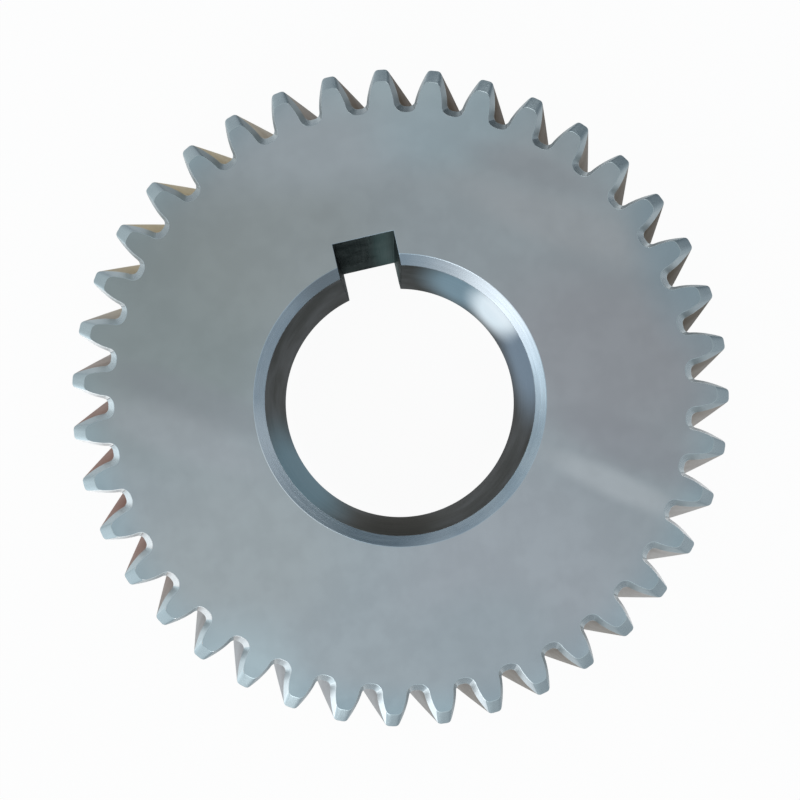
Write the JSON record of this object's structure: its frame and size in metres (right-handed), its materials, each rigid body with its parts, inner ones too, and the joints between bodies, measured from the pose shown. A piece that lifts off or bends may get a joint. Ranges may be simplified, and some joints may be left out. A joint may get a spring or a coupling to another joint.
{
  "type": "helical gear",
  "caption": "Right-hand helical steel gear with a chamfered central bore, one square keyway and bevelled tooth ends.",
  "frame": {"origin": "on the bore's axis, in the plane of the back face, which is also the centre of the box's bottom", "axes": "+Z along the bore from the back face to the front face, +Y from the bore towards the keyway, and the gear lies flat on its back face"},
  "size_m": [0.1695, 0.1696, 0.045],
  "materials": {
    "ground_steel": "ground satin faces, hobbed tooth flanks and a turned bore"
  },
  "bodies": {
    "root": {"helical_gear": "ground_steel"}
  },
  "joints": []
}
